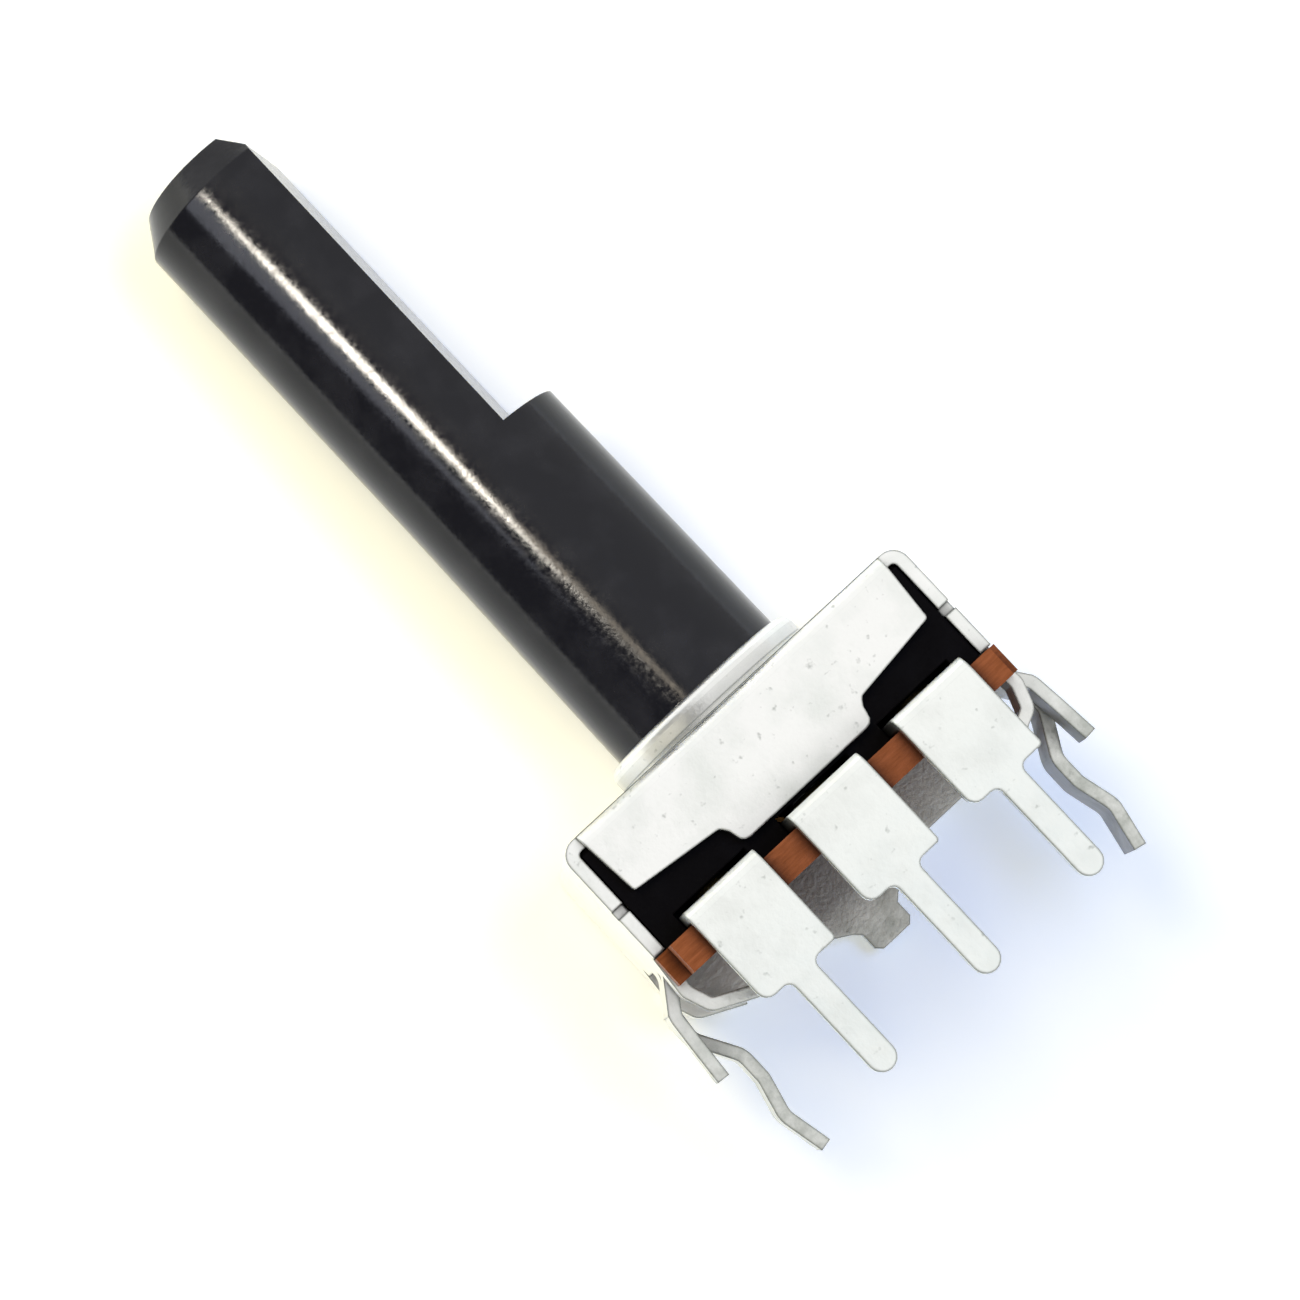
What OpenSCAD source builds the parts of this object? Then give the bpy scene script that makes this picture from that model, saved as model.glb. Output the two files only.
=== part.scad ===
// Rotary potentiometer with a moulded D shaft, a folded steel cover and three flat terminals.
// Z is the shaft's axis, z = 0 is the cover's front face, and the terminals are on the -Y side.

/* [Shaft] */
// Diameter of the knob end
shaft_d = 6; // [5.6:0.1:6]
// Height of the tip above the cover's front face
shaft_reach = 22.45; // [18:0.05:30]
// Length of the D flat
flat_length = 12; // [8:0.5:14]
// Depth of the D flat below the full round
flat_depth = 1.5; // [1:0.1:2]
// Turn of the shaft at rest, counted from mid travel
rest_turn = -10; // [-60:1:60]
// Full electrical travel of the shaft
travel = 300; // [240:5:300]

/* [Cover] */
// Outer width of the cover, across its side walls
cover_w = 13.1; // [13:0.1:14]
// Outer depth of the cover, from the apron to the far wall
cover_l = 10.8; // [10.8:0.1:12]
// Thickness of the steel sheet
sheet = 0.4; // [0.3:0.05:0.5]
// Height of the drawn collar round the shaft
collar_h = 0.9; // [0.7:0.05:1.2]
// Depth of the apron over the terminals' side, at its corners
apron_h = 2.25; // [2:0.05:2.5]
// Depth of the apron's middle tongue
tongue_h = 3.35; // [3:0.05:3.4]
// Width of the apron's middle tongue
tongue_w = 5.1; // [4:0.05:6]

/* [Legs] */
// Reach of the snap-in legs behind the front face
leg_reach = 11.3; // [10:0.05:14]
// Reach of the short tabs beside the legs
tab_reach = 7.85; // [7.6:0.05:8.8]
// Width of a snap-in leg
leg_w = 1.8; // [1.4:0.1:2]
// How far a leg steps inwards at its waist
kink = 0.75; // [0.3:0.05:0.8]
// Reach of the far wall's middle tab
far_tab_reach = 8.55; // [8.4:0.05:10]

/* [Board] */
// Height of the moulded ring between the cover and the board
ring_h = 3.65; // [3.6:0.05:4]
// Thickness of the phenolic board
board_t = 1; // [0.8:0.1:1.2]
// How far the board stands out past the apron, under the terminals
board_out = 1.5; // [1.2:0.1:2]

/* [Terminals] */
// Distance between terminals
pitch = 3.95; // [3.8:0.05:4.2]
// Width of a terminal's pad
pad_w = 2.65; // [2.4:0.05:2.8]
// Width of a terminal's pin
pin_w = 0.86; // [0.7:0.02:1.2]
// Thickness of the terminal strip
terminal_t = 0.35; // [0.3:0.05:0.4]
// Reach of the pads behind the front face
pad_reach = 7; // [6.6:0.05:7.6]
// Reach of the pins behind the front face
pin_reach = 10.65; // [9.5:0.05:13]

/* [Hidden] */
$fn = 48;

// Levels along the axis
ring_top = -sheet;
board_top = ring_top - ring_h;
board_bottom = board_top - board_t;
step_z = shaft_reach - flat_length;

// Running gaps, and the gap between pieces that are fitted together
gap = 0.05;
rotor_gap = 0.05;
fit_gap = 0.05;

// Shaft and rotor
shaft_r = shaft_d / 2;
journal_r = shaft_r + 0.08;
bore_r = journal_r + gap;
collar_r = bore_r + 0.42;
journal_top = collar_h + 0.4;
tip_end_r = shaft_r - 0.65;
tip_chamfer_h = 1;
flat_chamfer = [0.55, 0.8];
rim_round = 0.35;
cavity_r = cover_l / 2 - sheet - 0.4;
flange_r = cavity_r - 0.6;
flange_top = ring_top - rotor_gap;
flange_t = 1.5;
flange_bottom = flange_top - flange_t;
lug_r = cavity_r - 0.25;
lug_half = 14;
stop_r = flange_r + 0.12;
stop_half = 180 - travel / 2 - lug_half - 0.5;
hub_r = 1.45;
hub_bottom = board_top + 0.5;
peg_r = 1.2;

// Prints on the board
print_t = 0.05;
print_top = board_top + print_t;
track_r = cavity_r - 1.15;
track_w = 1;
track_end = travel / 2 + 3;
collector_r = 2.05;
collector_w = 0.8;
lead_w = 0.9;

// Wiper
wiper_t = 0.15;
wiper_inner_r = hub_r + 0.05;
wiper_outer_r = track_r - 0.35;
finger_w = 0.22;
finger_pitch = 0.3;
finger_run = 1.9;
contact_gap = 0.02;
stake_r = 0.3;
stake_x = 2.5;
stake_head_r = 0.5;
stake_head_t = 0.15;

// Cover
half_w = cover_w / 2;
half_l = cover_l / 2;
fold_r = 0.55;
wall_h = 4.25;
wall_half_y = half_l - sheet;
apron_half = half_w - sheet - 0.28;
apron_taper = 0.18;
apron_dip = 0.38;
corner_r = 0.3;
collar_round = 0.35;
// The collar's flared root: how far out, and how high
collar_root = [0.75, 0.2];
far_wall_h = 6.8;
far_corner = [1.4, 0.9];
far_tab_half = 0.75;
far_flare = 1.55;
tab_nip = 0.2;
nick = [0.3, 0.3];

// Wall strips behind the board, as near and far edges in Y
claw_y = [-4.3, -3.1];
tab_y = [-2.75, -1.45];
leg_y = [-1.25, -1.25 + leg_w];
strip_root = [tab_y[0], leg_y[1]];
far_claw_y = [3.1, 4.3];
ear_end_y = claw_y[0] - 0.15;

// Terminals
board_near_y = -half_l - board_out;
terminal_y = board_near_y - 0.1 - terminal_t / 2;
terminal_z = print_top + terminal_t / 2;
terminal_inner_y = -half_l + 2.1;
// Near and far edges, in Y, of the silver links where they meet the terminals' prints
link_y = [terminal_inner_y - 0.9, terminal_inner_y - 0.1];
bend_r = 0.4;
eyelet_y = -half_l + 1.4;
eyelet_r = 0.45;
eyelet_hole_r = 0.25;
eyelet_rim_r = 0.7;
eyelet_rim_t = 0.15;

function unit(v) = v / norm(v);
function left_of(v) = [-v[1], v[0]];
function polar(r, a) = [r * cos(a), r * sin(a)];

// Points along an arc
function arc(c, r, a0, a1, steps = 6) =
    [for (i = [0 : steps]) c + polar(r, a0 + (a1 - a0) * i / steps)];

// A path with each inner corner rounded by a short curve
function rounded(path, r, steps = 5) = [
    for (i = [0 : len(path) - 1])
        if (i == 0 || i == len(path) - 1) path[i]
        else
            let (
                u = unit(path[i] - path[i - 1]),
                v = unit(path[i + 1] - path[i]),
                reach = r * tan(acos(min(1, max(-1, u * v))) / 2),
                a = path[i] - reach * u,
                b = path[i] + reach * v
            )
            for (s = [0 : steps])
                let (k = s / steps)
                (1 - k) * (1 - k) * a + 2 * k * (1 - k) * path[i] + k * k * b
];

function heading(path, i) =
    unit(path[min(i + 1, len(path) - 1)] - path[max(i - 1, 0)]);

// Outline of a sheet strip seen edge on, from the path along its middle
function strip_outline(path, t) = concat(
    [for (i = [0 : len(path) - 1]) path[i] + left_of(heading(path, i)) * t / 2],
    [for (i = [len(path) - 1 : -1 : 0]) path[i] - left_of(heading(path, i)) * t / 2]
);

// Section of a sheet folded down at both ends of its flat top
function channel(half, depth_a, depth_b) = concat(
    [[-half, -depth_a]],
    arc([-half + fold_r, -fold_r], fold_r, 180, 90),
    arc([half - fold_r, -fold_r], fold_r, 90, 0),
    [[half, -depth_b], [half - sheet, -depth_b]],
    arc([half - fold_r, -fold_r], fold_r - sheet, 0, 90),
    arc([-half + fold_r, -fold_r], fold_r - sheet, 90, 180),
    [[-half + sheet, -depth_a]]
);

// Section of a block with its two top edges chamfered
function block(half, z0, z1, chamfer) = [
    [-half, z0], [-half, z1 - chamfer], [-half + chamfer, z1],
    [half - chamfer, z1], [half, z1 - chamfer], [half, z0]
];

// An X-Z outline made solid between two values of Y
module along_y(y0, y1) {
    translate([0, y1, 0])
        rotate([90, 0, 0])
            linear_extrude(y1 - y0)
                children();
}

// A Y-Z outline made solid over a width centred on X = 0
module along_x(w) {
    rotate([90, 0, 90])
        linear_extrude(w, center = true)
            children();
}

module both_sides() {
    children();
    mirror([1, 0, 0])
        children();
}

// A flat sector of a ring, between two angles
module ring_sector(r0, r1, a0, a1, z0, z1) {
    rotate([0, 0, a0])
        rotate_extrude(angle = a1 - a0)
            polygon([[r0, z0], [r1, z0], [r1, z1], [r0, z1]]);
}

// Outline of one half of the apron on the terminals' side, towards +X
function apron_half_outline() = concat(
    [[0, -tongue_h]],
    arc([tongue_w / 2 - corner_r, -tongue_h + corner_r], corner_r, 270, 360, 3),
    [[tongue_w / 2 + 0.05, -apron_h - apron_dip - 0.2]],
    arc([tongue_w / 2 + corner_r, -apron_h - apron_dip - 0.1], 0.15, 150, 90, 2),
    arc([apron_half - apron_taper - 0.1, -apron_h + 0.1], 0.1, 270, 360, 2),
    [[apron_half, 0], [apron_half, 1], [0, 1]]
);

// An outline that is the same on both sides of X = 0, from its half towards +X
function mirrored(points) = concat(
    points, [for (i = [len(points) - 1 : -1 : 0]) [-points[i][0], points[i][1]]]
);

// Outline of the far wall, with its middle tab
function far_outline() = mirrored([
    [apron_half, 1],
    [apron_half, -far_wall_h + far_corner[1]],
    [apron_half - far_corner[0], -far_wall_h],
    [far_tab_half + far_flare, -far_wall_h],
    [far_tab_half + tab_nip, -far_wall_h - 4 * tab_nip],
    [far_tab_half, -far_wall_h - 5 * tab_nip],
    [far_tab_half, -far_tab_reach + tab_nip],
    [far_tab_half - tab_nip, -far_tab_reach]
]);

wall_x = half_w - sheet / 2;
// How far out, and how far below the wall's end, the legs and tabs splay
strip_splay = [0.75, 1.35];
leg_root_x = wall_x + strip_splay[0];
// Straight piece of a strip either side of the wall's end
strip_start = 0.3;
strip_end_z = -wall_h - strip_splay[1];
// Where a leg bends and how far in it stands there, as shares of its length and its kink
leg_bends = [[0.15, 0], [0.38, 1], [0.54, 1], [0.75, 0.6], [1, 1]];
// The same for the short tab, with steps outwards
tab_bends = [[0.45, 0.1], [1, 0.2]];
// How far in from the wall, and how far below the board, a claw bends
claw_in = [-0.12, 0.15, 1.5];
claw_drop = [0.25, 1, 1.65];

// Middle of a strip where it leaves the wall and splays
strip_path = [
    [wall_x, -wall_h + strip_start],
    [wall_x, -wall_h - strip_start],
    [leg_root_x, strip_end_z]
];

// Middle of the short tab, from the wall outwards
tab_path = concat(strip_path, [
    for (b = tab_bends)
        [leg_root_x + b[1], strip_end_z - b[0] * (tab_reach + strip_end_z)]
]);

// Middle of the snap-in leg, from the wall out, in to its waist and out again
leg_path = concat(strip_path, [
    for (b = leg_bends)
        [leg_root_x - b[1] * kink, strip_end_z - b[0] * (leg_reach + strip_end_z)]
]);

// Middle of a claw, folded in behind the board
claw_path = concat([[wall_x, -wall_h + strip_start]],
    [for (i = [0 : 2]) [wall_x - claw_in[i], board_bottom - claw_drop[i]]]);

module side_strips() {
    along_y(tab_y[0], tab_y[1])
        polygon(strip_outline(rounded(tab_path, 0.5), sheet));
    along_y(leg_y[0], leg_y[1])
        polygon(strip_outline(rounded(leg_path, 0.8), sheet));
    // The web that joins tab and leg down to where they part
    along_y(strip_root[0], strip_root[1])
        polygon(strip_outline(rounded(strip_path, 0.5), sheet));
    for (y = [claw_y, far_claw_y])
        along_y(y[0], y[1])
            polygon(strip_outline(rounded(claw_path, 0.35), sheet));
}

module drawn_collar() {
    rotate_extrude()
        polygon(concat(
            [[bore_r, -sheet], [collar_r + collar_root[0], -sheet],
             [collar_r + collar_root[0], 0], [collar_r + 0.1, collar_root[1] - 0.03],
             [collar_r, collar_root[1]]],
            arc([collar_r - collar_round, collar_h - collar_round], collar_round, 0, 90, 4),
            [[bore_r, collar_h]]
        ));
}

module front_cover() {
    color("gainsboro") {
        difference() {
            union() {
                along_y(-wall_half_y, wall_half_y)
                    polygon(channel(half_w, wall_h, wall_h));
                intersection() {
                    along_x(cover_w)
                        polygon(channel(half_l, tongue_h + 1, far_tab_reach + 1));
                    union() {
                        along_y(-half_l - 1, 0)
                            both_sides()
                                polygon(apron_half_outline());
                        along_y(0, half_l + 1)
                            polygon(far_outline());
                    }
                }
            }
            translate([0, 0, -sheet - 1])
                cylinder(r = bore_r, h = sheet + 2);
            both_sides() {
                // Small nick in the near edge of each side wall
                translate([half_w - 1, -wall_half_y - 1, -apron_h - nick[1]])
                    cube([2, 1 + nick[0], nick[1]]);
                // Step over the board's ear
                translate([half_w - 1, -wall_half_y - 1, board_top + fit_gap - 1])
                    cube([2, 1 + wall_half_y + ear_end_y + fit_gap, 1]);
            }
        }
        drawn_collar();
        both_sides()
            side_strips();
    }
}

function terminal_x(i) = (i - 1) * pitch;

module housing_ring() {
    ring_x = half_w - sheet - fit_gap;
    ring_y = half_l - sheet - fit_gap;
    color("#1b1b1e")
        difference() {
            intersection() {
                along_y(-ring_y, ring_y)
                    polygon(block(ring_x, board_top, ring_top, fold_r - sheet));
                along_x(2 * ring_x)
                    polygon(block(ring_y, board_top, ring_top, fold_r - sheet));
            }
            difference() {
                translate([0, 0, board_top - 1])
                    cylinder(r = cavity_r, h = ring_h + 2);
                // Stop for the rotor's lug
                ring_sector(stop_r, cavity_r + 0.2, 270 - stop_half, 270 + stop_half,
                    flange_bottom, ring_top);
            }
            // Shallow room over the prints, between the terminals' pockets
            translate([-pitch, link_y[0] - fit_gap, board_top - 1])
                cube([2 * pitch, -link_y[0], 1 + print_t + fit_gap]);
            // Pockets over the terminals and their eyelets
            for (i = [0 : 2])
                translate([terminal_x(i) - pad_w / 2 - fit_gap, -ring_y - 1, board_top - 1])
                    cube([pad_w + 2 * fit_gap, ring_y + 1 + terminal_inner_y + fit_gap,
                        1 + print_t + terminal_t + eyelet_rim_t + fit_gap]);
        }
}

module resistor_board() {
    ear_x = half_w;
    board_x = half_w - sheet - fit_gap;
    far_y = half_l - sheet - fit_gap;
    ear_y = -half_l + fit_gap;
    color("#8f4713")
        difference() {
            translate([0, 0, board_bottom])
                union() {
                    translate([-board_x, board_near_y, 0])
                        cube([2 * board_x, far_y - board_near_y, board_t]);
                    translate([-ear_x, ear_y, 0])
                        cube([2 * ear_x, ear_end_y - ear_y, board_t]);
                }
            translate([0, 0, board_bottom - 1])
                cylinder(r = peg_r + gap, h = board_t + 2);
            for (i = [0 : 2])
                translate([terminal_x(i), eyelet_y, board_bottom - 1])
                    cylinder(r = eyelet_r, h = board_t + 2);
        }
}

module carbon_track() {
    color("#2a2a2c")
        ring_sector(track_r - track_w / 2, track_r + track_w / 2,
            90 - track_end, 90 + track_end, board_top, print_top);
}

// Print under a terminal, where its eyelet clamps it to the board
module terminal_land(i) {
    land_y = board_near_y + 0.3;
    translate([terminal_x(i) - pad_w / 2 + 0.2, land_y])
        square([pad_w - 0.4, terminal_inner_y - land_y]);
}

// Silver print from one end of the track to its terminal; side is -1 or 1
module end_electrode(side) {
    end_angle = 90 - track_end;
    sweep = -2;
    inner = track_r - track_w / 2;
    outer = track_r + track_w / 2;
    land_x = pitch - pad_w / 2 + 0.5;
    color("silver")
        mirror([side < 0 ? 1 : 0, 0, 0])
            translate([0, 0, board_top])
                linear_extrude(print_t)
                    difference() {
                        union() {
                            terminal_land(2);
                            polygon([
                                polar(inner, end_angle + sweep), polar(outer, end_angle + sweep),
                                [land_x, link_y[0]], [land_x, link_y[1]],
                                polar(outer, end_angle), polar(inner, end_angle)
                            ]);
                        }
                        translate([pitch, eyelet_y])
                            circle(r = eyelet_r);
                    }
}

module left_electrode() { end_electrode(-1); }
module right_electrode() { end_electrode(1); }

// Collector ring with the lead that runs between the track's ends to the middle terminal
module collector_print() {
    color("silver")
        translate([0, 0, board_top])
            linear_extrude(print_t)
                difference() {
                    union() {
                        circle(r = collector_r + collector_w / 2);
                        translate([-lead_w / 2, eyelet_y])
                            square([lead_w, -eyelet_y]);
                        terminal_land(1);
                    }
                    circle(r = collector_r - collector_w / 2);
                    translate([0, eyelet_y])
                        circle(r = eyelet_r);
                }
}

// Side view of a terminal: flat on the board, then bent down past its edge
terminal_path = [
    [terminal_inner_y, terminal_z],
    [terminal_y, terminal_z],
    [terminal_y, -pin_reach]
];

// Front view of a terminal: a wide pad, rounder at its -X corner, then a pin with a round end
function terminal_front(x) =
    let (
        half = pad_w / 2,
        pin = pin_w / 2,
        near_round = 0.35,
        far_round = 0.12,
        root = 0.24
    )
    concat(
        [[x - half, 0]],
        arc([x - half + near_round, -pad_reach + near_round], near_round, 180, 270, 4),
        arc([x - pin - root, -pad_reach - root], root, 90, 0, 4),
        arc([x, -pin_reach + pin], pin, 180, 360, 10),
        arc([x + pin + root, -pad_reach - root], root, 180, 90, 4),
        arc([x + half - far_round, -pad_reach + far_round], far_round, 270, 360, 3),
        [[x + half, 0]]
    );

module terminal(i) {
    color("whitesmoke")
        difference() {
            intersection() {
                translate([terminal_x(i), 0, 0])
                    along_x(pad_w + 1)
                        polygon(strip_outline(rounded(terminal_path, bend_r), terminal_t));
                along_y(terminal_y - 1, 0)
                    polygon(terminal_front(terminal_x(i)));
            }
            translate([terminal_x(i), eyelet_y, board_top])
                cylinder(r = eyelet_r, h = 1);
        }
}

module left_terminal() { terminal(0); }
module middle_terminal() { terminal(1); }
module right_terminal() { terminal(2); }

// Hollow rivet through terminal, print and board, with a rim at each end
module eyelet(i) {
    top = print_top + terminal_t;
    color("#c9b27a")
        translate([terminal_x(i), eyelet_y, 0])
            rotate_extrude()
                polygon([
                    [eyelet_hole_r, board_bottom - eyelet_rim_t],
                    [eyelet_rim_r - 0.1, board_bottom - eyelet_rim_t],
                    [eyelet_rim_r, board_bottom],
                    [eyelet_r, board_bottom],
                    [eyelet_r, top],
                    [eyelet_rim_r, top],
                    [eyelet_rim_r - 0.1, top + eyelet_rim_t],
                    [eyelet_hole_r, top + eyelet_rim_t]
                ]);
}

module left_eyelet() { eyelet(0); }
module middle_eyelet() { eyelet(1); }
module right_eyelet() { eyelet(2); }

// Shaft, rotor flange and journals, turned round the axis as one moulding
module shaft_body() {
    flat_x = shaft_r - flat_depth;
    rotate_extrude()
        polygon(concat(
            [[0, board_bottom + 0.2], [peg_r - 0.1, board_bottom + 0.2], [peg_r, board_bottom + 0.3],
             [peg_r, hub_bottom], [hub_r, hub_bottom], [hub_r, flange_bottom],
             [flange_r, flange_bottom], [flange_r, flange_top], [journal_r, flange_top],
             [journal_r, journal_top]],
            arc([shaft_r - rim_round, step_z - rim_round], rim_round, 0, 90, 4),
            [[0, step_z]]
        ));
    difference() {
        rotate_extrude()
            polygon([
                [0, step_z - 1], [shaft_r, step_z - 1], [shaft_r, shaft_reach - tip_chamfer_h],
                [tip_end_r, shaft_reach], [0, shaft_reach]
            ]);
        translate([flat_x, -shaft_r - 1, step_z])
            cube([2 * shaft_r, 2 * shaft_r + 2, flat_length + 1]);
        // The tip's chamfer where it crosses the flat
        along_y(-shaft_r - 1, shaft_r + 1)
            polygon([
                [flat_x, shaft_reach - flat_chamfer[1]], [flat_x - flat_chamfer[0], shaft_reach],
                [flat_x - flat_chamfer[0], shaft_reach + 1], [flat_x + 1, shaft_reach + 1],
                [flat_x + 1, shaft_reach - flat_chamfer[1]]
            ]);
    }
}

module shaft() {
    color("#26262b")
        rotate([0, 0, rest_turn]) {
            shaft_body();
            // Stop lug on the flange's rim
            ring_sector(flange_r - 0.5, lug_r, 90 - lug_half, 90 + lug_half,
                flange_bottom, flange_top);
            // Stakes that hold the wiper
            for (x = [-stake_x, stake_x])
                translate([x, 0, 0]) {
                    translate([0, 0, flange_bottom - wiper_t - 0.01])
                        cylinder(r = stake_r, h = wiper_t + 0.1);
                    translate([0, 0, flange_bottom - wiper_t - stake_head_t])
                        cylinder(r1 = stake_head_r - 0.15, r2 = stake_head_r, h = stake_head_t);
                }
        }
}

// A row of contact fingers bent down from the plate; the tips touch at X = 0
module fingers(y_middle, count) {
    plate_z = flange_bottom - wiper_t / 2;
    touch_z = print_top + contact_gap + wiper_t / 2;
    path = [
        [finger_run + 0.4, plate_z],
        [finger_run, plate_z],
        [0.25, touch_z],
        [-0.1, touch_z],
        [-0.45, touch_z + 0.35]
    ];
    for (i = [0 : count - 1]) {
        y = y_middle + (i - (count - 1) / 2) * finger_pitch;
        along_y(y - finger_w / 2, y + finger_w / 2)
            polygon(strip_outline(rounded(path, 0.25), wiper_t));
    }
}

module wiper_spring() {
    row_half = finger_pitch + finger_w / 2;
    window_y = collector_r + row_half + 0.1;
    color("goldenrod")
        rotate([0, 0, rest_turn]) {
            translate([0, 0, flange_bottom - wiper_t])
                linear_extrude(wiper_t)
                    difference() {
                        union() {
                            circle(r = wiper_outer_r);
                            translate([finger_run - 0.1, 0])
                                square([0.5, track_r + row_half]);
                        }
                        circle(r = wiper_inner_r);
                        for (x = [-stake_x, stake_x])
                            translate([x, 0])
                                circle(r = stake_r + 0.02);
                        // Window that the collector's fingers are bent from
                        translate([-finger_run + 0.1, -window_y])
                            square([finger_run + 0.8, 2 * row_half + 0.2]);
                    }
            fingers(track_r, 3);
            rotate([0, 0, 180])
                fingers(collector_r, 3);
        }
}

front_cover();
housing_ring();
resistor_board();
carbon_track();
left_electrode();
right_electrode();
collector_print();
left_terminal();
middle_terminal();
right_terminal();
left_eyelet();
middle_eyelet();
right_eyelet();
shaft();
wiper_spring();
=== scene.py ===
"""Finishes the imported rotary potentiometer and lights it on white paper."""

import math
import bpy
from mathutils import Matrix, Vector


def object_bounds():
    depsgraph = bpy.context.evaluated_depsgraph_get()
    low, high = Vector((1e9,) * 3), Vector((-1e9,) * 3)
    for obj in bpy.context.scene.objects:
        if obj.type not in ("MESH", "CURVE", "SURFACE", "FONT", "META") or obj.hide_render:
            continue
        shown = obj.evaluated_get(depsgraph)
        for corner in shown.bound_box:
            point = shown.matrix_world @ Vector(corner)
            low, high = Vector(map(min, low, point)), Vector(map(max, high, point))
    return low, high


bl_info = {
    "name": "Rotary Potentiometer",
    "version": (1, 0, 0),
    "blender": (4, 5, 0),
    "location": "View3D > Sidebar > Potentiometer",
    "description": "Materials, paper, lamps and camera for a board-mounted rotary potentiometer",
    "category": "Object",
}

import bpy
from bpy.props import FloatProperty, FloatVectorProperty, PointerProperty
from mathutils import Matrix, Vector

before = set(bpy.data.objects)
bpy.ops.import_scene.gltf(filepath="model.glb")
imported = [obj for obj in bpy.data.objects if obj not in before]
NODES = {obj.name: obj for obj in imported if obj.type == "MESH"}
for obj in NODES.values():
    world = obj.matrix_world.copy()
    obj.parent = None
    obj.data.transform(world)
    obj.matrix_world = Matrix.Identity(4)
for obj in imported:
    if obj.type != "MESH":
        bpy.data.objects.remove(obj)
CAD_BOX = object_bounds()

MM = 0.001
WHITE = (1.0, 1.0, 1.0, 1.0)

# Camera axes and place in the part's frame, from a fit to points of the photograph
VIEW_RIGHT = Vector((0.73095, -0.03820, -0.68136))
VIEW_DOWN = Vector((-0.67269, 0.12772, -0.72882))
VIEW_FORWARD = Vector((0.11487, 0.99107, 0.06766))
CAMERA_PLACE = Vector((-12.677, -108.394, -4.601)) * MM
SENSOR_MM = 36.0
LENS_MM = 101.94

# Direction in which the room is dark, at the left of the camera
DARK_SIDE = Vector((-0.90, -0.43, 0.0))
# Middle of the shaft, and the direction along which its window leans
ON_SHAFT = Vector((0, 0, 12)) * MM
WINDOW_SLANT = Vector((-0.61, 0.27, 0.745))

# Heights between which the tin turns from bright to greyer, painted shade on the lower parts
LOWER_SHADE_START = -4.2 * MM
LOWER_SHADE_END = -8.0 * MM
# Heights between which the painted shade of the inner faces sets in
INNER_SHADE_START = -0.5 * MM
INNER_SHADE_END = -1.2 * MM
# Heights between which the far tab's painted shade lightens, and distances from the axis
# between which the tab ends and the legs begin
TAB_START = -6.4 * MM
TAB_END = -7.6 * MM
TAB_INSIDE = 5.4 * MM
TAB_OUTSIDE = 6.0 * MM

# Gap between the part and the paper, and the distances from the paper's middle between which
# it turns plain white to sight
PAPER_GAP = 0.1 * MM
PAPER_NEAR = 35 * MM
PAPER_FAR = 90 * MM


def linear(code, alpha=1.0):
    """Turn an sRGB hex colour into linear RGBA"""
    channels = [int(code[i:i + 2], 16) / 255 for i in (1, 3, 5)]
    return tuple(
        c / 12.92 if c <= 0.04045 else ((c + 0.055) / 1.055) ** 2.4 for c in channels
    ) + (alpha,)


def scale_for(size):
    """Texture scale at which one cell of a pattern has this size"""
    return 1 / size


def add(tree, kind, inputs=None, **settings):
    """Add one node, apply its settings, and fill or link its inputs"""
    made = tree.nodes.new(kind)
    for name, value in settings.items():
        setattr(made, name, value)
    for name, value in (inputs or {}).items():
        socket = made.inputs[name]
        if isinstance(value, bpy.types.NodeSocket):
            tree.links.new(value, socket)
        else:
            socket.default_value = value
    return made


def start_material(name):
    """Make a material with an empty node tree"""
    material = bpy.data.materials.new(name)
    material.use_nodes = True
    material.node_tree.nodes.clear()
    return material, material.node_tree


def dress(material, *names):
    """Give a material to CAD nodes through their own slots"""
    for name in names:
        piece = NODES[name]
        if not piece.material_slots:
            piece.data.materials.append(material)
        for slot in piece.material_slots:
            slot.material = material


def colour_setting(name, description, code):
    """A colour, written as an sRGB hex value"""
    return FloatVectorProperty(
        name=name, description=description, subtype="COLOR", size=4,
        default=linear(code), min=0.0, max=1.0,
    )


def length_setting(name, description, default_mm):
    """A small length, written in millimetres"""
    return FloatProperty(
        name=name, description=description, subtype="DISTANCE",
        default=default_mm * MM, min=0.005 * MM, max=20 * MM,
    )


def power_setting(name, description, default):
    """A lamp's power in watts"""
    return FloatProperty(
        name=name, description=description, subtype="POWER", default=default, min=0.0, max=5.0,
    )


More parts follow.
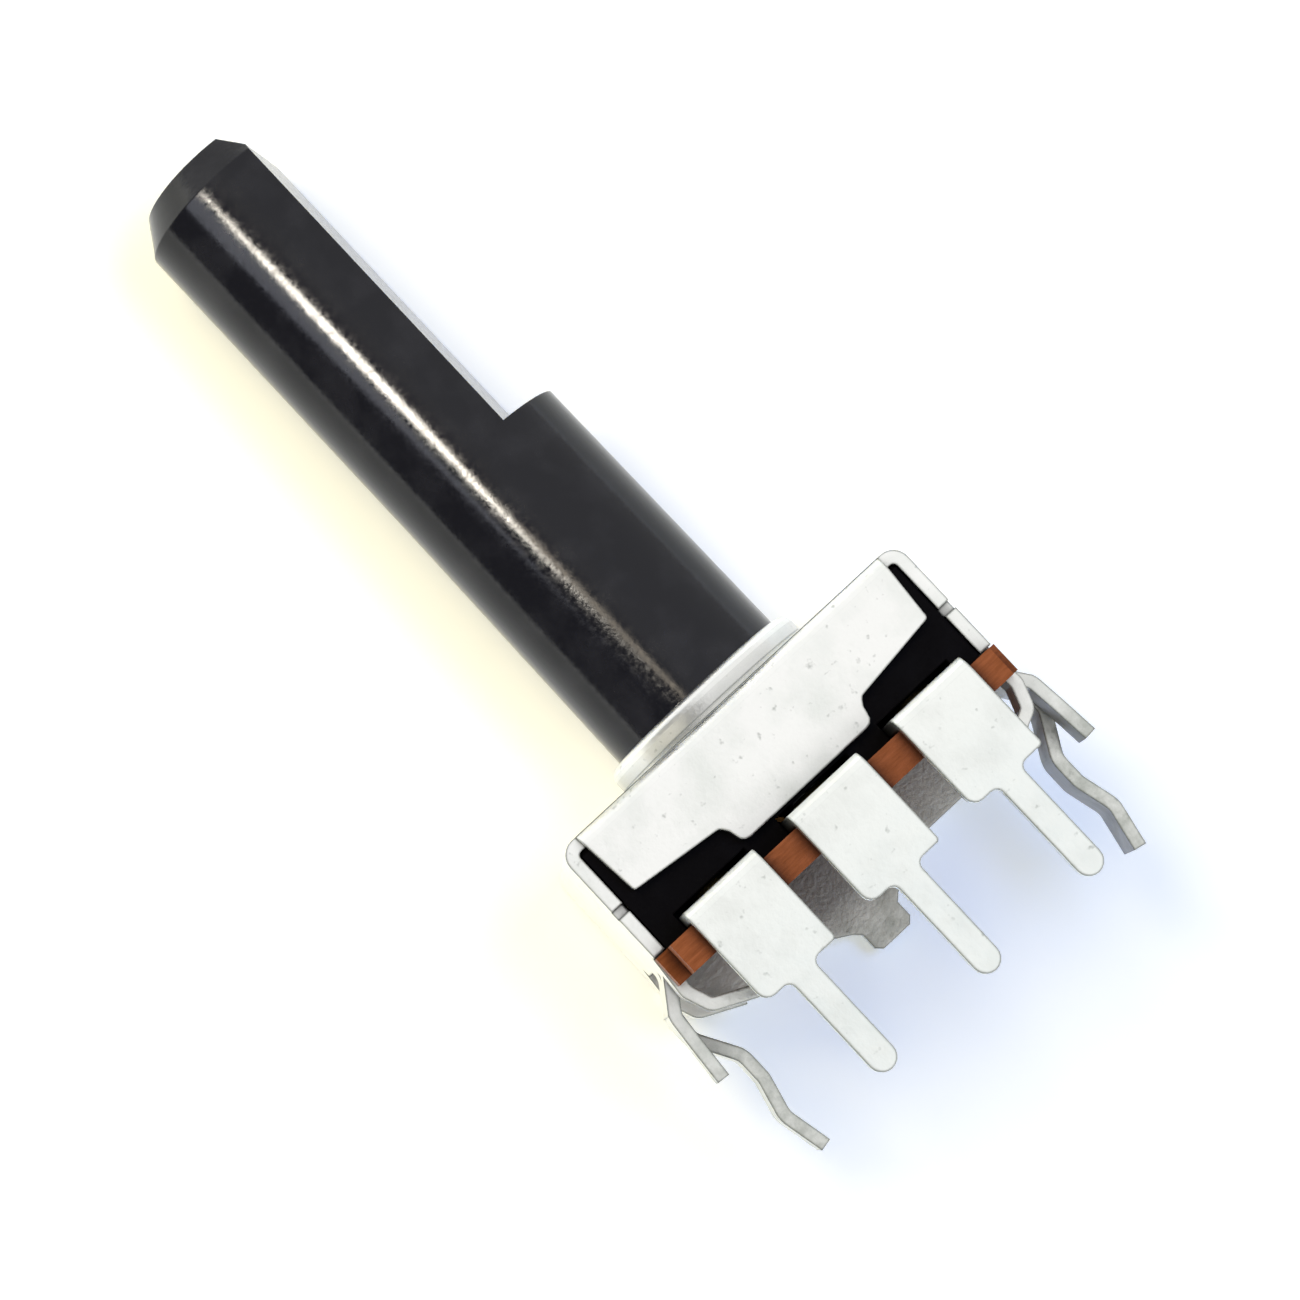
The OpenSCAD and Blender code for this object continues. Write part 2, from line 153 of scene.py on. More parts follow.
class PotFinish(bpy.types.PropertyGroup):
    """Colours and grain sizes of the potentiometer's materials"""

    tin: colour_setting("Tin plate", "Bright tin on the cover", "#fefefb")
    tin_dull: colour_setting("Dull tin", "Tin in its duller patches", "#f7f9f5")
    tin_edge: colour_setting("Cut edge", "Base metal at sheared edges and in pits", "#6f766e")
    # Greyer tin from the board down: painted shade on the legs, tabs and claws
    tin_low_shade: colour_setting("Shaded lower tin", "Tin on the legs, tabs and claws", "#8d9389")
    # Painted shade in recesses
    tin_recess_shade: colour_setting("Shaded tin in recesses", "Tin where little light comes", "#4d4a4c")
    # Painted shade on the inner faces below the board
    tin_inner_shade: colour_setting("Shaded inner tin", "Tin on faces turned toward the axis", "#5a5659")
    terminal_tin: colour_setting("Terminal tin", "Tin on the brass terminals", "#fcfefa")
    terminal_low: colour_setting("Pin tin", "Tin on the terminals' pins", "#f1f7f6")
    board: colour_setting("Phenolic", "Paper phenolic of the board", "#985632")
    board_dark: colour_setting("Phenolic fibre", "Darker fibres in the board", "#7d4424")
    # Painted shade on the board behind the terminals
    board_shade: colour_setting("Shaded phenolic", "The board behind the terminals", "#35180a")
    ring: colour_setting("Housing black", "Moulded ring", "#060507")
    ring_worn: colour_setting("Housing grey", "Scuffed places on the ring", "#0b0a0d")
    shaft: colour_setting("Shaft black", "Moulded shaft", "#0d0d13")
    shaft_worn: colour_setting("Shaft grey", "Scuffed places on the shaft", "#1e1e23")
    carbon: colour_setting("Carbon ink", "Printed track", "#26262a")
    carbon_dark: colour_setting("Dark carbon ink", "Mesh mark in the track", "#151517")
    silver: colour_setting("Silver ink", "Printed electrodes and collector", "#c9c7c0")
    silver_dark: colour_setting("Dark silver ink", "Mesh mark in the silver", "#a5a39c")
    brass: colour_setting("Brass", "Eyelets", "#d8bf7c")
    brass_dark: colour_setting("Dark brass", "Rolling lines in the eyelets", "#a98d4c")
    bronze: colour_setting("Bronze", "Wiper spring", "#cf9a5e")
    bronze_dark: colour_setting("Dark bronze", "Rolling lines in the spring", "#9a6a38")
    tin_patch: length_setting("Tin patch", "Width of one dull patch in the tin", 1.6)
    tin_speck: length_setting("Tin speck", "Spacing of the dark specks in the tin", 0.28)
    fibre: length_setting("Fibre", "Length of a paper fibre in the board", 0.7)
    ring_grain: length_setting("Ring grain", "Spacing of the ring's moulding grain", 0.1)
    shaft_grain: length_setting("Shaft grain", "Spacing of the shaft's moulding grain", 0.16)
    ink_mesh: length_setting("Ink mesh", "Spacing of the printing screen's threads", 0.09)
    roll_line: length_setting("Rolling line", "Spacing of the rolling lines", 0.05)


class PotStage(bpy.types.PropertyGroup):
    """Paper, lamps and camera"""

    paper: colour_setting("Paper", "Sheet that the part lies on", "#fbfbfa")
    pulp: colour_setting("Paper fibre", "Duller places in the paper", "#f1f1ee")
    daylight: colour_setting("Daylight", "Soft light from all round", "#e4f7f8")
    key: colour_setting("Key", "Colour of the lamp at the upper left", "#ffeeb6")
    fill: colour_setting("Fill", "Colour of the lamp at the upper right", "#8fb0ff")
    key_power: power_setting("Key power", "Power of the lamp at the upper left", 0.175)
    fill_power: power_setting("Fill power", "Power of the lamp at the upper right", 0.110)
    streak_power: power_setting("Streak power", "Power of the shaft's window", 0.14)
    board_power: power_setting("Pale board power", "Power of the board at the left", 0.05)
    paper_size: FloatProperty(
        name="Paper size", description="Side of the paper", subtype="DISTANCE",
        default=0.4, min=0.05, max=2.0,
    )
    paper_lift: FloatProperty(
        name="Paper lift", description="How much the paper is brightened where it is seen",
        subtype="FACTOR", default=0.27, min=0.0, max=1.0,
    )
    paper_tilt: FloatProperty(
        name="Paper tilt", description="How far the paper rises toward the shaft's tip",
        subtype="ANGLE", default=math.radians(4.2), min=0.0, max=math.radians(45),
    )
    daylight_strength: FloatProperty(
        name="Daylight strength", description="Strength of the light from all round",
        default=0.33, min=0.0, max=2.0,
    )
    dark_side: FloatProperty(
        name="Dark side", description="How dark the room's left side shows in glossy surfaces",
        subtype="FACTOR", default=0.8, min=0.0, max=1.0,
    )
    lens: FloatProperty(
        name="Lens", description="Focal length of the camera", subtype="DISTANCE_CAMERA",
        default=LENS_MM, min=20.0, max=300.0,
    )


def edge_mask(tree, width):
    """Find the places within about this width of a sharp edge, and return mask and soft normal"""
    soft = add(tree, "ShaderNodeBevel", {"Radius": width}, samples=6)
    flat = add(tree, "ShaderNodeNewGeometry")
    dot = add(tree, "ShaderNodeVectorMath",
              {0: soft.outputs["Normal"], 1: flat.outputs["Normal"]}, operation="DOT_PRODUCT")
    mask = add(tree, "ShaderNodeMapRange",
               {"Value": dot.outputs["Value"], "From Min": 0.995, "From Max": 0.80})
    return mask.outputs["Result"], soft.outputs["Normal"]


def recess_shade(tree, reach, strength):
    """Painted shade in recesses, from 0 in the open up to strength, darker where less of the sky
    is seen
    """
    open_sky = add(tree, "ShaderNodeAmbientOcclusion", {"Distance": reach}, samples=8)
    return add(tree, "ShaderNodeMapRange",
               {"Value": open_sky.outputs["AO"], "From Min": 0.85, "From Max": 0.15,
                "To Max": strength}).outputs["Result"]


def inner_shade(tree, place):
    """Painted shade on faces turned toward the axis, from below the board down, lighter on the
    far tab
    """
    inward = add(tree, "ShaderNodeVectorMath", {0: place, 1: (-1.0, -1.0, 0.0)},
                 operation="MULTIPLY").outputs["Vector"]
    aim = add(tree, "ShaderNodeVectorMath", {0: inward}, operation="NORMALIZE")
    normal = add(tree, "ShaderNodeNewGeometry").outputs["Normal"]
    facing = add(tree, "ShaderNodeVectorMath", {0: normal, 1: aim.outputs["Vector"]},
                 operation="DOT_PRODUCT")
    # Painted shade on faces turned toward the axis
    skin = add(tree, "ShaderNodeMapRange",
               {"Value": facing.outputs["Value"], "From Min": 0.6, "From Max": 0.97,
                "To Max": 0.75})
    height = add(tree, "ShaderNodeSeparateXYZ", {"Vector": place}).outputs["Z"]
    below = add(tree, "ShaderNodeMapRange",
                {"Value": height, "From Min": INNER_SHADE_START, "From Max": INNER_SHADE_END})
    # The far tab stands in the open, so it gets less painted shade than the wall above and the
    # legs beside
    tab = add(tree, "ShaderNodeMapRange",
              {"Value": height, "From Min": TAB_START, "From Max": TAB_END,
               "To Min": 1.0, "To Max": 0.35})
    apart = add(tree, "ShaderNodeVectorMath", {0: inward}, operation="LENGTH")
    beside = add(tree, "ShaderNodeMapRange",
                 {"Value": apart.outputs["Value"], "From Min": TAB_INSIDE,
                  "From Max": TAB_OUTSIDE})
    level = add(tree, "ShaderNodeMath",
                {0: tab.outputs["Result"], 1: beside.outputs["Result"]}, operation="MAXIMUM")
    dark = add(tree, "ShaderNodeMath",
               {0: skin.outputs["Result"], 1: below.outputs["Result"]}, operation="MULTIPLY")
    return add(tree, "ShaderNodeMath",
               {0: dark.outputs["Value"], 1: level.outputs["Value"]},
               operation="MULTIPLY").outputs["Value"]


def finish_tin(name, finish, bright, low, patch_size, speck_size, edge_width, roughness):
    """Electroplated tin on a stamped strip.

    Tin plate is a soft bright metal. Stamping leaves dull patches, small dark pits and
    sheared edges where the base metal shows grey. From the board down the tin is painted
    greyer as shade, broken up by random smears, and faces turned toward the axis and
    recesses carry painted shade.
    """
    material, tree = start_material(name)
    place = add(tree, "ShaderNodeTexCoord").outputs["Object"]
    patch = add(tree, "ShaderNodeTexNoise",
                {"Vector": place, "Scale": scale_for(patch_size), "Detail": 4.0,
                 "Roughness": 0.6})
    dull = add(tree, "ShaderNodeMapRange",
               {"Value": patch.outputs["Fac"], "From Min": 0.45, "From Max": 0.70})

    # Painted shade: from the board down the tin turns greyer, broken up by random smears
    height = add(tree, "ShaderNodeSeparateXYZ", {"Vector": place}).outputs["Z"]
    lower_shade_ramp = add(tree, "ShaderNodeMapRange",
                  {"Value": height, "From Min": LOWER_SHADE_START, "From Max": LOWER_SHADE_END, "To Max": 0.75})
    smear = add(tree, "ShaderNodeTexNoise",
                {"Vector": place, "Scale": scale_for(0.6 * MM), "Detail": 5.0,
                 "Roughness": 0.7})
    smeared = add(tree, "ShaderNodeMapRange",
                  {"Value": smear.outputs["Fac"], "From Min": 0.3, "From Max": 0.7,
                   "To Min": 0.35})
    grey = add(tree, "ShaderNodeMath",
               {0: lower_shade_ramp.outputs["Result"], 1: smeared.outputs["Result"]},
               operation="MULTIPLY")

    pits = add(tree, "ShaderNodeTexNoise",
               {"Vector": place, "Scale": scale_for(speck_size), "Detail": 2.0,
                "Roughness": 0.5})
    pitted = add(tree, "ShaderNodeMapRange",
                 {"Value": pits.outputs["Fac"], "From Min": 0.67, "From Max": 0.80,
                  "To Max": 0.5})
    sheared, soft_normal = edge_mask(tree, edge_width)

    # Each layer of colour lies over the ones before it
    colour = bright
    for factor, over in (
        (dull.outputs["Result"], finish.tin_dull),
        (grey.outputs["Value"], low),
        (pitted.outputs["Result"], finish.tin_edge),
        (sheared, finish.tin_edge),
        # Painted shade in recesses, then on faces turned toward the axis
        (recess_shade(tree, 2.5 * MM, 0.85), finish.tin_recess_shade),
        (inner_shade(tree, place), finish.tin_inner_shade),
    ):
        colour = add(tree, "ShaderNodeMix", {"Factor": factor, "A": colour, "B": over},
                     data_type="RGBA").outputs["Result"]

    gloss = add(tree, "ShaderNodeMapRange",
                {"Value": dull.outputs["Result"], "To Min": roughness,
                 "To Max": roughness + 0.14})
    grain = add(tree, "ShaderNodeTexNoise",
                {"Vector": place, "Scale": scale_for(0.14 * MM), "Detail": 3.0})
    relief = add(tree, "ShaderNodeBump",
                 {"Height": grain.outputs["Fac"], "Strength": 0.5, "Distance": 0.02 * MM,
                  "Normal": soft_normal})
    shader = add(tree, "ShaderNodeBsdfPrincipled",
                 {"Base Color": colour, "Metallic": 1.0,
                  "Roughness": gloss.outputs["Result"], "Normal": relief.outputs["Normal"]})
    add(tree, "ShaderNodeOutputMaterial", {"Surface": shader.outputs["BSDF"]})
    return material


def moulded_black(name, black, worn, grain_size, roughness, specular):
    """Filled thermoplastic, straight from the mould.

    Its skin is near black with a fine grain that breaks up highlights. The grain is drawn
    coarser than the real one, as coarse as it needs to show.
    """
    material, tree = start_material(name)
    place = add(tree, "ShaderNodeTexCoord").outputs["Object"]
    grain = add(tree, "ShaderNodeTexNoise",
                {"Vector": place, "Scale": scale_for(grain_size), "Detail": 3.0,
                 "Roughness": 0.65})
    scuff = add(tree, "ShaderNodeTexNoise",
                {"Vector": place, "Scale": scale_for(grain_size * 9), "Detail": 5.0})
    scuffed = add(tree, "ShaderNodeMapRange",
                  {"Value": scuff.outputs["Fac"], "From Min": 0.48, "From Max": 0.80})
    colour = add(tree, "ShaderNodeMix",
                 {"Factor": scuffed.outputs["Result"], "A": black, "B": worn},
                 data_type="RGBA")
    gloss = add(tree, "ShaderNodeMapRange",
                {"Value": grain.outputs["Fac"], "From Min": 0.3, "From Max": 0.7,
                 "To Min": roughness - 0.06, "To Max": roughness + 0.10})
    soft_normal = add(tree, "ShaderNodeBevel", {"Radius": 0.08 * MM}, samples=6)
    relief = add(tree, "ShaderNodeBump",
                 {"Height": grain.outputs["Fac"], "Strength": 0.5, "Distance": 0.005 * MM,
                  "Normal": soft_normal.outputs["Normal"]})
    shader = add(tree, "ShaderNodeBsdfPrincipled",
                 {"Base Color": colour.outputs["Result"], "Roughness": gloss.outputs["Result"],
                  "Specular IOR Level": specular, "Normal": relief.outputs["Normal"]})
    add(tree, "ShaderNodeOutputMaterial", {"Surface": shader.outputs["BSDF"]})
    return material


def paper_phenolic(name, finish):
    """Paper phenolic laminate, punched.

    Resin-soaked paper layers give an orange-brown board, with thin darker fibre lines on
    its punched edges.
    """
    material, tree = start_material(name)
    place = add(tree, "ShaderNodeTexCoord").outputs["Object"]
    flat = add(tree, "ShaderNodeMapping", {"Vector": place, "Scale": (1.0, 1.0, 7.0)})
    fibres = add(tree, "ShaderNodeTexNoise",
                 {"Vector": flat.outputs["Vector"], "Scale": scale_for(finish.fibre),
                  "Detail": 6.0, "Roughness": 0.65})
    tone = add(tree, "ShaderNodeMapRange",
               {"Value": fibres.outputs["Fac"], "From Min": 0.35, "From Max": 0.68})
    colour = add(tree, "ShaderNodeMix",
                 {"Factor": tone.outputs["Result"], "A": finish.board,
                  "B": finish.board_dark}, data_type="RGBA")
    # Painted shade: the board darkens in recesses, behind the terminals
    shaded_board = add(tree, "ShaderNodeMix",
               {"Factor": recess_shade(tree, 3 * MM, 2.4), "A": colour.outputs["Result"],
                "B": finish.board_shade}, data_type="RGBA")
    relief = add(tree, "ShaderNodeBump",
                 {"Height": fibres.outputs["Fac"], "Strength": 0.4, "Distance": 0.015 * MM})
    gloss = add(tree, "ShaderNodeMapRange",
                {"Value": tone.outputs["Result"], "To Min": 0.45, "To Max": 0.62})
    shader = add(tree, "ShaderNodeBsdfPrincipled",
                 {"Base Color": shaded_board.outputs["Result"], "Roughness": gloss.outputs["Result"],
                  "Specular IOR Level": 0.2, "Normal": relief.outputs["Normal"]})
    add(tree, "ShaderNodeOutputMaterial", {"Surface": shader.outputs["BSDF"]})
    return material


def printed_ink(name, light, dark, mesh_size, metallic, roughness):
    """Screen-printed ink, which keeps a faint mark of the screen's mesh"""
    material, tree = start_material(name)
    place = add(tree, "ShaderNodeTexCoord").outputs["Object"]
    mesh = add(tree, "ShaderNodeTexVoronoi", {"Vector": place, "Scale": scale_for(mesh_size)})
    tone = add(tree, "ShaderNodeMapRange",
               {"Value": mesh.outputs["Distance"], "From Max": 0.7})
    colour = add(tree, "ShaderNodeMix",
                 {"Factor": tone.outputs["Result"], "A": light, "B": dark}, data_type="RGBA")
    relief = add(tree, "ShaderNodeBump",
                 {"Height": mesh.outputs["Distance"], "Strength": 0.2, "Distance": 0.01 * MM})
    shader = add(tree, "ShaderNodeBsdfPrincipled",
                 {"Base Color": colour.outputs["Result"], "Metallic": metallic,
                  "Roughness": roughness, "Normal": relief.outputs["Normal"]})
    add(tree, "ShaderNodeOutputMaterial", {"Surface": shader.outputs["BSDF"]})
    return material


def rolled_metal(name, light, dark, line_size, roughness):
    """Rolled copper alloy, a warm metal with fine lines left by the rollers"""
    material, tree = start_material(name)
    place = add(tree, "ShaderNodeTexCoord").outputs["Object"]
    drawn = add(tree, "ShaderNodeMapping", {"Vector": place, "Scale": (1.0, 0.08, 1.0)})
    lines = add(tree, "ShaderNodeTexNoise",
                {"Vector": drawn.outputs["Vector"], "Scale": scale_for(line_size),
                 "Detail": 3.0})
    tone = add(tree, "ShaderNodeMapRange",
               {"Value": lines.outputs["Fac"], "From Min": 0.35, "From Max": 0.65})
    colour = add(tree, "ShaderNodeMix",
                 {"Factor": tone.outputs["Result"], "A": light, "B": dark}, data_type="RGBA")
    relief = add(tree, "ShaderNodeBump",
                 {"Height": lines.outputs["Fac"], "Strength": 0.3, "Distance": 0.006 * MM})
    shader = add(tree, "ShaderNodeBsdfPrincipled",
                 {"Base Color": colour.outputs["Result"], "Metallic": 1.0,
                  "Roughness": roughness, "Normal": relief.outputs["Normal"]})
    add(tree, "ShaderNodeOutputMaterial", {"Surface": shader.outputs["BSDF"]})
    return material


def white_for_sight(tree):
    """1 for rays that show the background: seen, mirrored or through glass"""
    rays = add(tree, "ShaderNodeLightPath")
    seen = add(tree, "ShaderNodeMath",
               {0: rays.outputs["Is Camera Ray"], 1: rays.outputs["Is Glossy Ray"]},
               operation="MAXIMUM")
    return add(tree, "ShaderNodeMath",
               {0: seen.outputs["Value"], 1: rays.outputs["Is Transmission Ray"]},
               operation="MAXIMUM").outputs["Value"]


def uncoated_paper(name, stage):
    """Uncoated paper, seen from its front only.

    It is matt and white, with a weak unevenness of its fibres.
    """
    material, tree = start_material(name)
    place = add(tree, "ShaderNodeTexCoord").outputs["Object"]
    pulp = add(tree, "ShaderNodeTexNoise", {"Vector": place, "Scale": scale_for(3 * MM)})
    tone = add(tree, "ShaderNodeMapRange", {"Value": pulp.outputs["Fac"], "To Max": 0.15})
    colour = add(tree, "ShaderNodeMix",
                 {"Factor": tone.outputs["Result"], "A": stage.paper, "B": stage.pulp},
                 data_type="RGBA")
    lit = add(tree, "ShaderNodeBsdfDiffuse", {"Color": colour.outputs["Result"]})
    # Far from the part, where the lamps don't reach, the paper is plain white to sight
    apart = add(tree, "ShaderNodeVectorMath", {0: place}, operation="LENGTH")
    share = add(tree, "ShaderNodeMapRange",
                {"Value": apart.outputs["Value"], "From Min": PAPER_NEAR,
                 "From Max": PAPER_FAR, "To Min": stage.paper_lift})
    lift = add(tree, "ShaderNodeMath",
               {0: white_for_sight(tree), 1: share.outputs["Result"]}, operation="MULTIPLY")
    glow = add(tree, "ShaderNodeEmission", {"Color": WHITE, "Strength": lift.outputs["Value"]})
    front = add(tree, "ShaderNodeAddShader",
                {0: lit.outputs["BSDF"], 1: glow.outputs["Emission"]})
    behind = add(tree, "ShaderNodeBsdfTransparent")
    turned = add(tree, "ShaderNodeNewGeometry").outputs["Backfacing"]
    shader = add(tree, "ShaderNodeMixShader",
                 {0: turned, 1: front.outputs["Shader"], 2: behind.outputs["BSDF"]})
    add(tree, "ShaderNodeOutputMaterial", {"Surface": shader.outputs["Shader"]})
    return material


class PotCover(bpy.types.Operator):
    """Give the folded cover its tin plate"""

    bl_idname = "pot.cover"
    bl_label = "Folded cover"

    def execute(self, context):
        finish = context.scene.pot_finish
        # Its low colour is painted shade, greyer tin from the board down
        tin = finish_tin("tinned_steel_stamped", finish, bright=finish.tin,
                         low=finish.tin_low_shade, patch_size=finish.tin_patch,
                         speck_size=finish.tin_speck, edge_width=0.11 * MM, roughness=0.30)
        dress(tin, "front_cover")
        return {"FINISHED"}


class PotTerminals(bpy.types.Operator):
    """Give the three terminals their tin plate"""

    bl_idname = "pot.terminals"
    bl_label = "Terminals"

    def execute(self, context):
        finish = context.scene.pot_finish
        # The terminals' tin is duller than the cover's, and their pins stay bright
        tin = finish_tin("tinned_brass_stamped", finish, bright=finish.terminal_tin,
                         low=finish.terminal_low, patch_size=finish.tin_patch * 0.8,
                         speck_size=finish.tin_speck * 1.1, edge_width=0.13 * MM,
                         roughness=0.34)
        dress(tin, "left_terminal", "middle_terminal", "right_terminal")
        return {"FINISHED"}


class PotMouldings(bpy.types.Operator):
    """Give the housing ring and the shaft their moulded black plastics"""

    bl_idname = "pot.mouldings"
    bl_label = "Ring and shaft"

    def execute(self, context):
        finish = context.scene.pot_finish
        # PBT, glass filled: matt and even
        pbt = moulded_black("pbt_moulded", finish.ring, finish.ring_worn, finish.ring_grain,
                            roughness=0.6, specular=0.06)
        # Nylon, mineral filled: semi-gloss, with a grain that dots the highlight
        nylon = moulded_black("nylon_moulded", finish.shaft, finish.shaft_worn,
                              finish.shaft_grain, roughness=0.12, specular=0.3)
        dress(pbt, "housing_ring")
        dress(nylon, "shaft")
        return {"FINISHED"}


class PotBoard(bpy.types.Operator):
    """Give the board its phenolic and the printed tracks their inks"""

    bl_idname = "pot.board"
    bl_label = "Board and prints"

    def execute(self, context):
        finish = context.scene.pot_finish
        phenolic = paper_phenolic("paper_phenolic_punched", finish)
        # Carbon ink: matt and near black
        carbon = printed_ink("carbon_ink_printed", finish.carbon, finish.carbon_dark,
                             finish.ink_mesh, metallic=0.0, roughness=0.7)
        # Silver ink: flake in resin, pale and satin
        silver = printed_ink("silver_ink_printed", finish.silver, finish.silver_dark,
                             finish.ink_mesh, metallic=0.7, roughness=0.45)
        dress(phenolic, "resistor_board")
        dress(carbon, "carbon_track")
        dress(silver, "left_electrode", "right_electrode", "collector_print")
        return {"FINISHED"}


class PotSmallMetal(bpy.types.Operator):
    """Give the eyelets and the wiper spring their copper alloys"""

    bl_idname = "pot.small_metal"
    bl_label = "Eyelets and wiper"

    def execute(self, context):
        finish = context.scene.pot_finish
        brass = rolled_metal("rolled_brass", finish.brass, finish.brass_dark,
                             finish.roll_line, roughness=0.34)
        bronze = rolled_metal("phosphor_bronze_rolled", finish.bronze, finish.bronze_dark,
                              finish.roll_line, roughness=0.30)
        dress(brass, "left_eyelet", "middle_eyelet", "right_eyelet")
        dress(bronze, "wiper_spring")
        return {"FINISHED"}


def in_view(right_mm, up_mm, back_mm):
    """A point given from the object's middle, along the photograph's own directions"""
    low, high = (Vector(corner) for corner in CAD_BOX)
    offset = right_mm * VIEW_RIGHT - up_mm * VIEW_DOWN - back_mm * VIEW_FORWARD
    return (low + high) / 2 + offset * MM


def lamp(name, place, aim, along, width_mm, height_mm, power, colour):
    """Add a rectangular lamp at a place, facing aim, with its height along a direction"""
    data = bpy.data.lights.new(name, "AREA")
    data.shape = "RECTANGLE"
    data.size = width_mm * MM
    data.size_y = height_mm * MM
    data.energy = power
    data.color = colour[:3]
    made = bpy.data.objects.new(name, data)
    bpy.context.scene.collection.objects.link(made)
    back = (place - aim).normalized()
    side = along.cross(back).normalized()
    up = back.cross(side)
    axes = Matrix((side, up, back)).transposed().to_4x4()
    made.matrix_world = Matrix.Translation(place) @ axes
    made.visible_camera = False
    return made


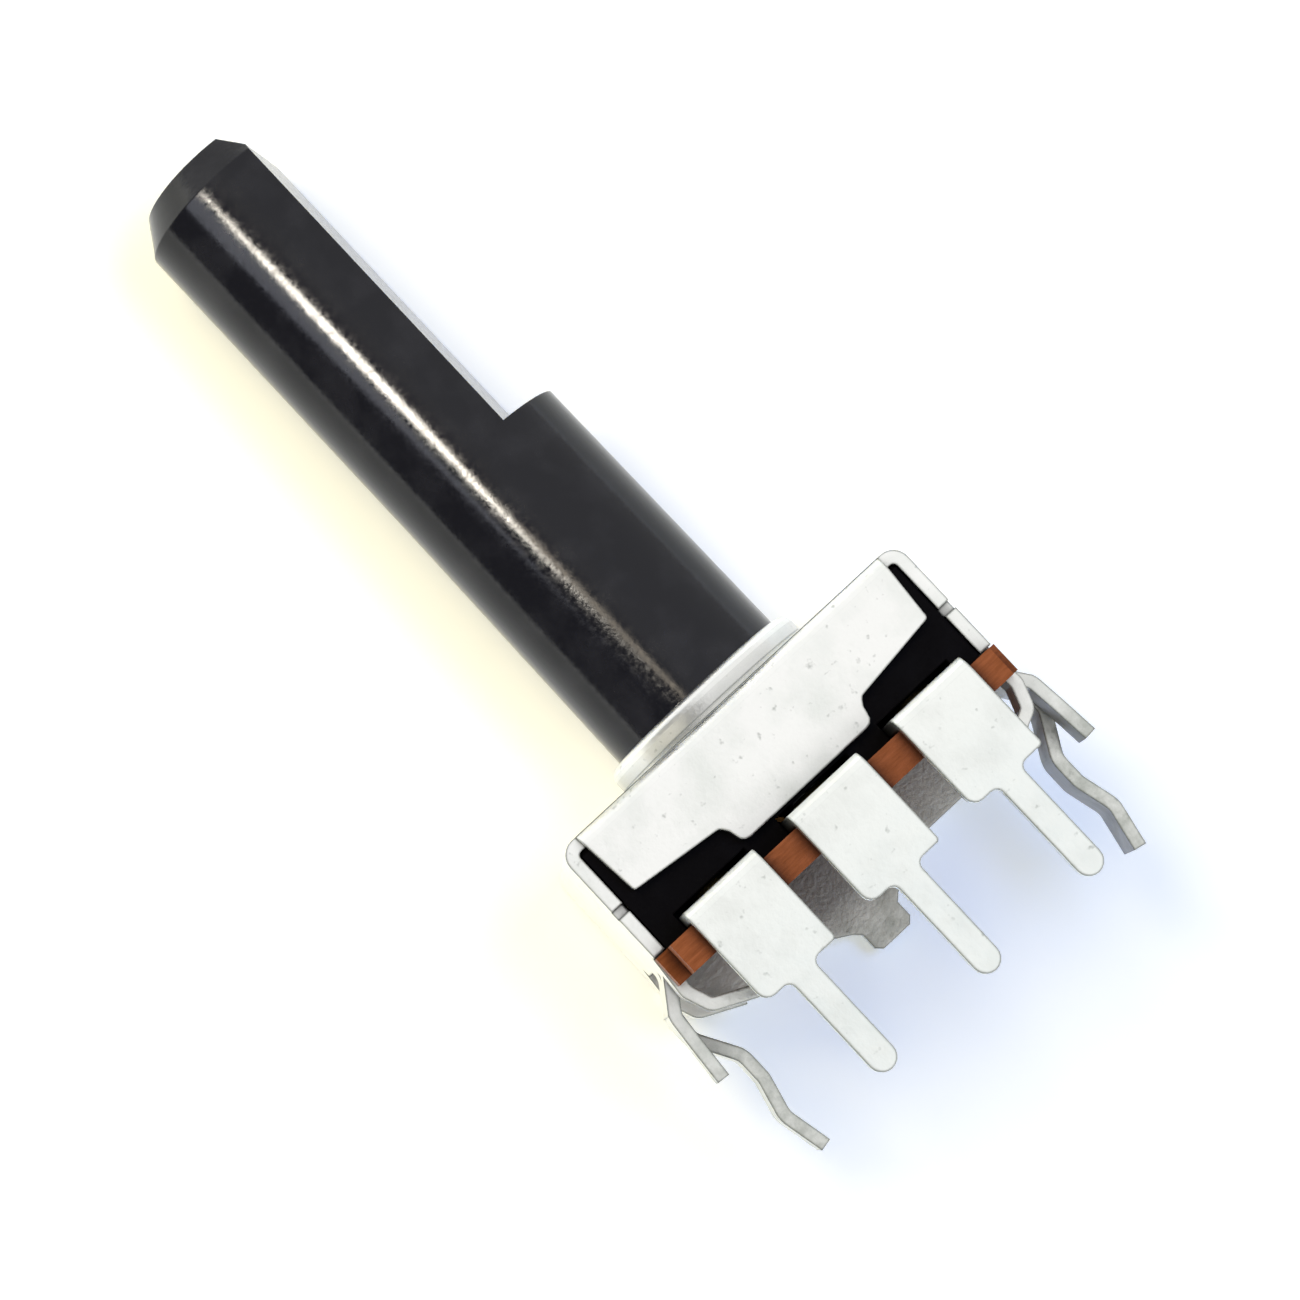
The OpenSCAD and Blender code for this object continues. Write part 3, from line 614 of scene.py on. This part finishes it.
class PotStudio(bpy.types.Operator):
    """Lay the part on white paper, with soft lamps and the photograph's camera"""

    bl_idname = "pot.studio"
    bl_label = "Stage"

    def execute(self, context):
        stage = context.scene.pot_stage
        self.paper(stage)
        self.world(context.scene, stage)
        self.lamps(stage)
        self.camera(context.scene, stage)
        context.scene.view_settings.view_transform = "Standard"
        return {"FINISHED"}

    def paper(self, stage):
        """Sheet just behind the part, which rises toward the shaft's tip"""
        half = stage.paper_size / 2
        mesh = bpy.data.meshes.new("paper")
        corners = [(-half, -half, 0), (half, -half, 0), (half, half, 0), (-half, half, 0)]
        mesh.from_pydata(corners, [], [(0, 1, 2, 3)])
        mesh.materials.append(uncoated_paper("uncoated_paper", stage))
        sheet = bpy.data.objects.new("paper", mesh)
        bpy.context.scene.collection.objects.link(sheet)

        away = Vector((0, math.cos(stage.paper_tilt), math.sin(stage.paper_tilt)))
        reach = max(
            (piece.matrix_world @ vertex.co).dot(away)
            for piece in NODES.values() for vertex in piece.data.vertices
        )
        middle = in_view(0, 0, 0)
        depth = reach + PAPER_GAP - middle.dot(away)
        across = Vector((1, 0, 0))
        axes = Matrix((across, across.cross(away), -away)).transposed().to_4x4()
        sheet.matrix_world = Matrix.Translation(middle + depth * away) @ axes
        sheet.visible_shadow = False

    def world(self, scene, stage):
        """Soft daylight on the part, and plain white where the background shows"""
        world = bpy.data.worlds.new("daylight")
        world.use_nodes = True
        tree = world.node_tree
        tree.nodes.clear()
        soft = add(tree, "ShaderNodeBackground",
                   {"Color": stage.daylight, "Strength": stage.daylight_strength})
        # Glossy surfaces show white all round but for the room's dark side at the left
        look = add(tree, "ShaderNodeTexCoord").outputs["Generated"]
        toward = add(tree, "ShaderNodeVectorMath", {0: look, 1: DARK_SIDE},
                     operation="DOT_PRODUCT")
        lobe = add(tree, "ShaderNodeMapRange",
                   {"Value": toward.outputs["Value"], "From Min": 0.45, "From Max": 0.85,
                    "To Max": stage.dark_side}, interpolation_type="SMOOTHSTEP")
        rays = add(tree, "ShaderNodeLightPath")
        dark = add(tree, "ShaderNodeMath",
                   {0: lobe.outputs["Result"], 1: rays.outputs["Is Glossy Ray"]},
                   operation="MULTIPLY")
        level = add(tree, "ShaderNodeMath", {0: 1.0, 1: dark.outputs["Value"]},
                    operation="SUBTRACT")
        shown = add(tree, "ShaderNodeBackground",
                    {"Color": WHITE, "Strength": level.outputs["Value"]})
        mix = add(tree, "ShaderNodeMixShader",
                  {0: white_for_sight(tree), 1: soft.outputs["Background"],
                   2: shown.outputs["Background"]})
        add(tree, "ShaderNodeOutputWorld", {"Surface": mix.outputs["Shader"]})
        scene.world = world

    def lamps(self, stage):
        """A warm key and a cool fill, a window that shows along the shaft, and a pale board"""
        middle = in_view(0, 0, 0)
        key = lamp("key", in_view(-47, 45, 152), middle, VIEW_RIGHT, 58, 58,
                   stage.key_power, stage.key)
        fill = lamp("fill", in_view(58, 34, 150), middle, VIEW_RIGHT, 55, 55,
                    stage.fill_power, stage.fill)
        # Metal shows the white room and not these two, so that its colour stays as written
        key.visible_glossy = False
        fill.visible_glossy = False

        # The shaft's streak: a bright pane, a dim one under it and a dim one at its left
        panes = [
            lamp("window", Vector((-75, -141, 43)) * MM, ON_SHAFT, WINDOW_SLANT, 20, 28,
                 stage.streak_power, linear("#fff8ea")),
            lamp("window_low", Vector((-57, -149, 20)) * MM, ON_SHAFT, WINDOW_SLANT, 12, 36,
                 stage.streak_power * 0.08, linear("#fff0d8")),
            lamp("window_side", Vector((-108, -116, 56)) * MM, ON_SHAFT, WINDOW_SLANT, 42, 50,
                 stage.streak_power * 0.16, linear("#eef2ff")),
        ]
        # The shaft mirrors the room's dark side. From the tin a pale board hides it
        board = lamp("pale_board", DARK_SIDE * 150 * MM, Vector(), Vector((0, 0, 1)), 190, 120,
                     stage.board_power, linear("#fffbe8"))
        for name, state, linked in (
            ("shaft_only", "INCLUDE", panes),
            ("no_shaft", "EXCLUDE", [board]),
        ):
            lit = bpy.data.collections.new(name)
            lit.objects.link(NODES["shaft"])
            lit.collection_objects[0].light_linking.link_state = state
            for made in linked:
                made.light_linking.receiver_collection = lit

    def camera(self, scene, stage):
        """The photograph's camera"""
        data = bpy.data.cameras.new("camera")
        data.sensor_width = SENSOR_MM
        data.sensor_fit = "HORIZONTAL"
        data.lens = stage.lens
        data.clip_start = 1 * MM
        made = bpy.data.objects.new("camera", data)
        scene.collection.objects.link(made)
        axes = Matrix((VIEW_RIGHT, -VIEW_DOWN, -VIEW_FORWARD)).transposed().to_4x4()
        made.matrix_world = Matrix.Translation(CAMERA_PLACE) @ axes
        scene.camera = made


class PotPanel(bpy.types.Panel):
    """Lists the potentiometer's operators and settings"""

    bl_idname = "VIEW3D_PT_potentiometer"
    bl_label = "Rotary Potentiometer"
    bl_space_type = "VIEW_3D"
    bl_region_type = "UI"
    bl_category = "Potentiometer"

    def draw(self, context):
        for operator in OPERATORS:
            self.layout.operator(operator.bl_idname)
        for group in (context.scene.pot_finish, context.scene.pot_stage):
            box = self.layout.box()
            for name in group.__annotations__:
                box.prop(group, name)


OPERATORS = (PotCover, PotTerminals, PotMouldings, PotBoard, PotSmallMetal, PotStudio)
CLASSES = (PotFinish, PotStage, *OPERATORS, PotPanel)


def register():
    for cls in CLASSES:
        bpy.utils.register_class(cls)
    bpy.types.Scene.pot_finish = PointerProperty(type=PotFinish)
    bpy.types.Scene.pot_stage = PointerProperty(type=PotStage)


def unregister():
    del bpy.types.Scene.pot_stage
    del bpy.types.Scene.pot_finish
    for cls in reversed(CLASSES):
        bpy.utils.unregister_class(cls)


def main():
    register()
    bpy.ops.pot.cover()
    bpy.ops.pot.terminals()
    bpy.ops.pot.mouldings()
    bpy.ops.pot.board()
    bpy.ops.pot.small_metal()
    bpy.ops.pot.studio()


if __name__ == "__main__":
    main()
